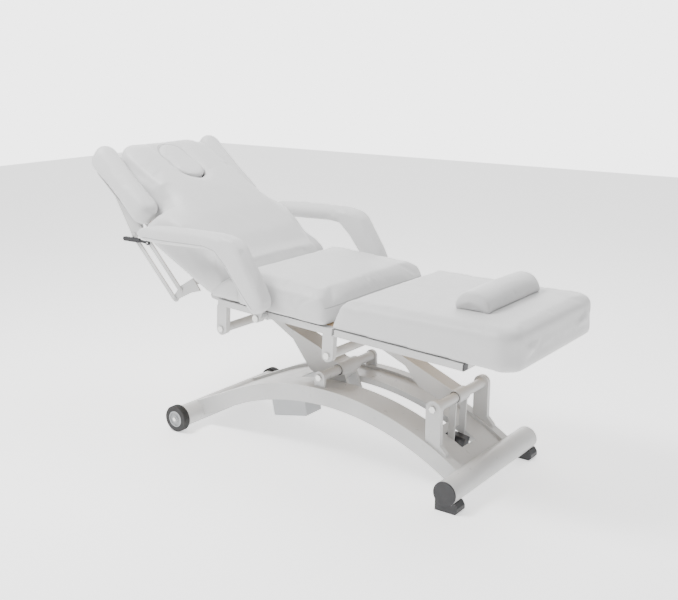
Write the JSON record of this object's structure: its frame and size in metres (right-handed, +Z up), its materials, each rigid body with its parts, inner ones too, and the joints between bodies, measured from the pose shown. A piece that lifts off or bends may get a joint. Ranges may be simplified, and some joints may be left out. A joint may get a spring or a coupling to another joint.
{
  "type": "facial treatment bed",
  "caption": "Electric facial and massage bed on an arched base with a parallelogram lift, reclining back, raising leg rest, side head pads and swing-back arm rests.",
  "frame": {"origin": "on the floor, at the middle of the bed length and width at rest", "axes": "+X from the head end to the foot end, +Y to the left of a person lying face up, +Z up"},
  "size_m": [1.9321, 0.848, 1.1479],
  "materials": {
    "steel": "satin",
    "zinc": "satin",
    "black_plastic": "matte",
    "grey_plastic": "matte",
    "leather": "matte",
    "bush": "matte",
    "plywood": "matte",
    "tyre": "matte",
    "hub": "satin",
    "rod_steel": "polished"
  },
  "bodies": {
    "base": {"side_beams": "steel", "rear_deck_plate": "steel", "deck_strips": "steel", "foot_deck_plate": "steel", "rear_cross_tube": "steel", "foot_cross_tube": "steel", "foot_end_caps": "black_plastic", "foot_pads": "black_plastic", "rear_pivot_lugs": "steel", "front_pivot_posts": "steel", "rear_pivot_tube": "steel", "front_pivot_tube": "steel", "base_bolts": "zinc", "axle_bolts": "zinc", "control_box": "grey_plastic", "power_inlet": "black_plastic"},
    "wheel_left": {"wheel_tyre_left": "tyre", "wheel_hub_left": "hub"},
    "wheel_right": {"wheel_tyre_right": "tyre", "wheel_hub_right": "hub"},
    "rear_arm": {"rear_arm": "steel", "rear_arm_bushes": "bush"},
    "front_arm": {"front_arm": "steel", "front_arm_bushes": "bush"},
    "seat": {"seat_rails": "steel", "seat_lugs": "steel", "seat_cross_tubes": "steel", "seat_bolts": "zinc", "seat_board": "plywood", "seat_cushion": "leather"},
    "leg_rest": {"leg_frame": "steel", "leg_rail_plugs": "black_plastic", "leg_board": "plywood", "leg_cushion": "leather"},
    "back_rest": {"back_frame": "steel", "back_board": "plywood", "back_cushion": "leather"},
    "face_plug": {"face_plug": "leather"},
    "bolster": {"bolster": "leather"},
    "lift_motor": {"lift_motor": "black_plastic"},
    "lift_rod": {"lift_motor_rod": "rod_steel"},
    "back_motor": {"back_motor": "black_plastic"},
    "back_rod": {"back_motor_rod": "rod_steel"},
    "leg_motor": {"leg_motor": "black_plastic"},
    "leg_rod": {"leg_motor_rod": "rod_steel"},
    "link_lower_left": {"pad_link_lower_left": "steel"},
    "link_upper_left": {"pad_link_upper_left": "steel"},
    "side_pad_left": {"pad_bracket_left": "steel", "side_pad_left": "leather"},
    "lever_left": {"release_lever_left": "black_plastic"},
    "armrest_left": {"armrest_frame_left": "steel", "armrest_pad_left": "leather"},
    "link_lower_right": {"pad_link_lower_right": "steel"},
    "link_upper_right": {"pad_link_upper_right": "steel"},
    "side_pad_right": {"pad_bracket_right": "steel", "side_pad_right": "leather"},
    "lever_right": {"release_lever_right": "black_plastic"},
    "armrest_right": {"armrest_frame_right": "steel", "armrest_pad_right": "leather"}
  },
  "joints": [
    {"name": "wheel_spin_left", "type": "hinge", "parent": "base", "child": "wheel_left", "pos_m": [-0.55028, 0.306, 0.055], "axis": [0, 1, 0], "continuous": true},
    {"name": "wheel_spin_right", "type": "hinge", "parent": "base", "child": "wheel_right", "pos_m": [-0.55028, -0.306, 0.055], "axis": [0, 1, 0], "continuous": true},
    {"name": "lift", "type": "hinge", "parent": "base", "child": "rear_arm", "pos_m": [0.08472, 0, 0.321], "axis": [0, 1, 0], "range_deg": [-13, 37]},
    {"name": "front_arm_swing", "type": "hinge", "parent": "base", "child": "front_arm", "pos_m": [0.58872, 0, 0.306], "axis": [0, 1, 0], "range_deg": [-13, 37]},
    {"name": "seat_level", "type": "hinge", "parent": "rear_arm", "child": "seat", "pos_m": [-0.27028, 0, 0.489], "axis": [0, 1, 0], "range_deg": [-37, 13]},
    {"name": "lift_motor_tilt", "type": "hinge", "parent": "base", "child": "lift_motor", "pos_m": [0.58172, 0, 0.135], "axis": [0, 1, 0], "range_deg": [-2, 1]},
    {"name": "lift_motor_stroke", "type": "slide", "parent": "lift_motor", "child": "lift_rod", "axis": [-0.9868, 0, 0.162], "range_m": [-0.026, 0.073]},
    {"name": "back_recline", "type": "hinge", "parent": "seat", "child": "back_rest", "pos_m": [-0.33528, 0, 0.606], "axis": [0, 1, 0], "range_deg": [-25, 25]},
    {"name": "back_motor_tilt", "type": "hinge", "parent": "seat", "child": "back_motor", "pos_m": [0.14908, 0, 0.51964], "axis": [0, 1, 0], "range_deg": [-1, 1]},
    {"name": "back_motor_stroke", "type": "slide", "parent": "back_motor", "child": "back_rod", "axis": [-0.9994, 0, 0.0345], "range_m": [-0.0325, 0.0325]},
    {"name": "leg_raise", "type": "hinge", "parent": "seat", "child": "leg_rest", "pos_m": [0.24268, 0, 0.56348], "axis": [0, -1, 0], "range_deg": [0, 25]},
    {"name": "leg_motor_tilt", "type": "hinge", "parent": "seat", "child": "leg_motor", "pos_m": [-0.11772, 0, 0.53055], "axis": [0, -1, 0], "range_deg": [-0.5, 1.5]},
    {"name": "leg_motor_stroke", "type": "slide", "parent": "leg_motor", "child": "leg_rod", "axis": [0.9984, 0, -0.0558], "range_m": [-0.001, 0.023]},
    {"name": "face_plug_lift", "type": "slide", "parent": "back_rest", "child": "face_plug", "axis": [0.4909, 0, 0.8712], "range_m": [0, 0.16]},
    {"name": "bolster_lift", "type": "slide", "parent": "leg_rest", "child": "bolster", "axis": [0, 0, 1], "range_m": [0, 0.15]},
    {"name": "pad_swing_left", "type": "hinge", "parent": "back_rest", "child": "link_lower_left", "pos_m": [-0.53828, 0.3075, 0.564], "axis": [0, -1, 0], "range_deg": [0, 40]},
    {"name": "pad_follow_left", "type": "hinge", "parent": "back_rest", "child": "link_upper_left", "pos_m": [-0.50428, 0.3075, 0.604], "axis": [0, -1, 0], "range_deg": [0, 40]},
    {"name": "pad_level_left", "type": "hinge", "parent": "link_lower_left", "child": "side_pad_left", "pos_m": [-0.75628, 0.3075, 0.797], "axis": [0, -1, 0], "range_deg": [-40, 0]},
    {"name": "release_left", "type": "hinge", "parent": "link_upper_left", "child": "lever_left", "pos_m": [-0.6656, 0.3175, 0.77642], "axis": [0, -1, 0], "range_deg": [0, 18], "stiffness_Nm_per_rad": 0.3, "springref_deg": -14.32},
    {"name": "armrest_swing_left", "type": "hinge", "parent": "seat", "child": "armrest_left", "pos_m": [-0.04528, 0.372, 0.579], "axis": [0, -1, 0], "range_deg": [0, 60]},
    {"name": "pad_swing_right", "type": "hinge", "parent": "back_rest", "child": "link_lower_right", "pos_m": [-0.53828, -0.3075, 0.564], "axis": [0, -1, 0], "range_deg": [0, 40]},
    {"name": "pad_follow_right", "type": "hinge", "parent": "back_rest", "child": "link_upper_right", "pos_m": [-0.50428, -0.3075, 0.604], "axis": [0, -1, 0], "range_deg": [0, 40]},
    {"name": "pad_level_right", "type": "hinge", "parent": "link_lower_right", "child": "side_pad_right", "pos_m": [-0.75628, -0.3075, 0.797], "axis": [0, -1, 0], "range_deg": [-40, 0]},
    {"name": "release_right", "type": "hinge", "parent": "link_upper_right", "child": "lever_right", "pos_m": [-0.6656, -0.3175, 0.77642], "axis": [0, -1, 0], "range_deg": [0, 18], "stiffness_Nm_per_rad": 0.3, "springref_deg": -14.32},
    {"name": "armrest_swing_right", "type": "hinge", "parent": "seat", "child": "armrest_right", "pos_m": [-0.04528, -0.372, 0.579], "axis": [0, -1, 0], "range_deg": [0, 60]}
  ],
  "couplings": [
    {"joint": "front_arm_swing", "follows": "lift", "ratio": 1},
    {"joint": "seat_level", "follows": "lift", "ratio": -1},
    {"joint": "lift_motor_tilt", "follows": "lift", "ratio": -0.04073},
    {"joint": "lift_motor_stroke", "follows": "lift", "m_per_rad": 0.11172},
    {"joint": "back_motor_tilt", "follows": "back_recline", "ratio": -0.02785},
    {"joint": "back_motor_stroke", "follows": "back_recline", "m_per_rad": 0.073398},
    {"joint": "leg_motor_tilt", "follows": "leg_raise", "ratio": 0.04431},
    {"joint": "leg_motor_stroke", "follows": "leg_raise", "m_per_rad": 0.050305},
    {"joint": "pad_follow_left", "follows": "pad_swing_left", "ratio": 1},
    {"joint": "pad_level_left", "follows": "pad_swing_left", "ratio": -1},
    {"joint": "pad_follow_right", "follows": "pad_swing_right", "ratio": 1},
    {"joint": "pad_level_right", "follows": "pad_swing_right", "ratio": -1}
  ]
}
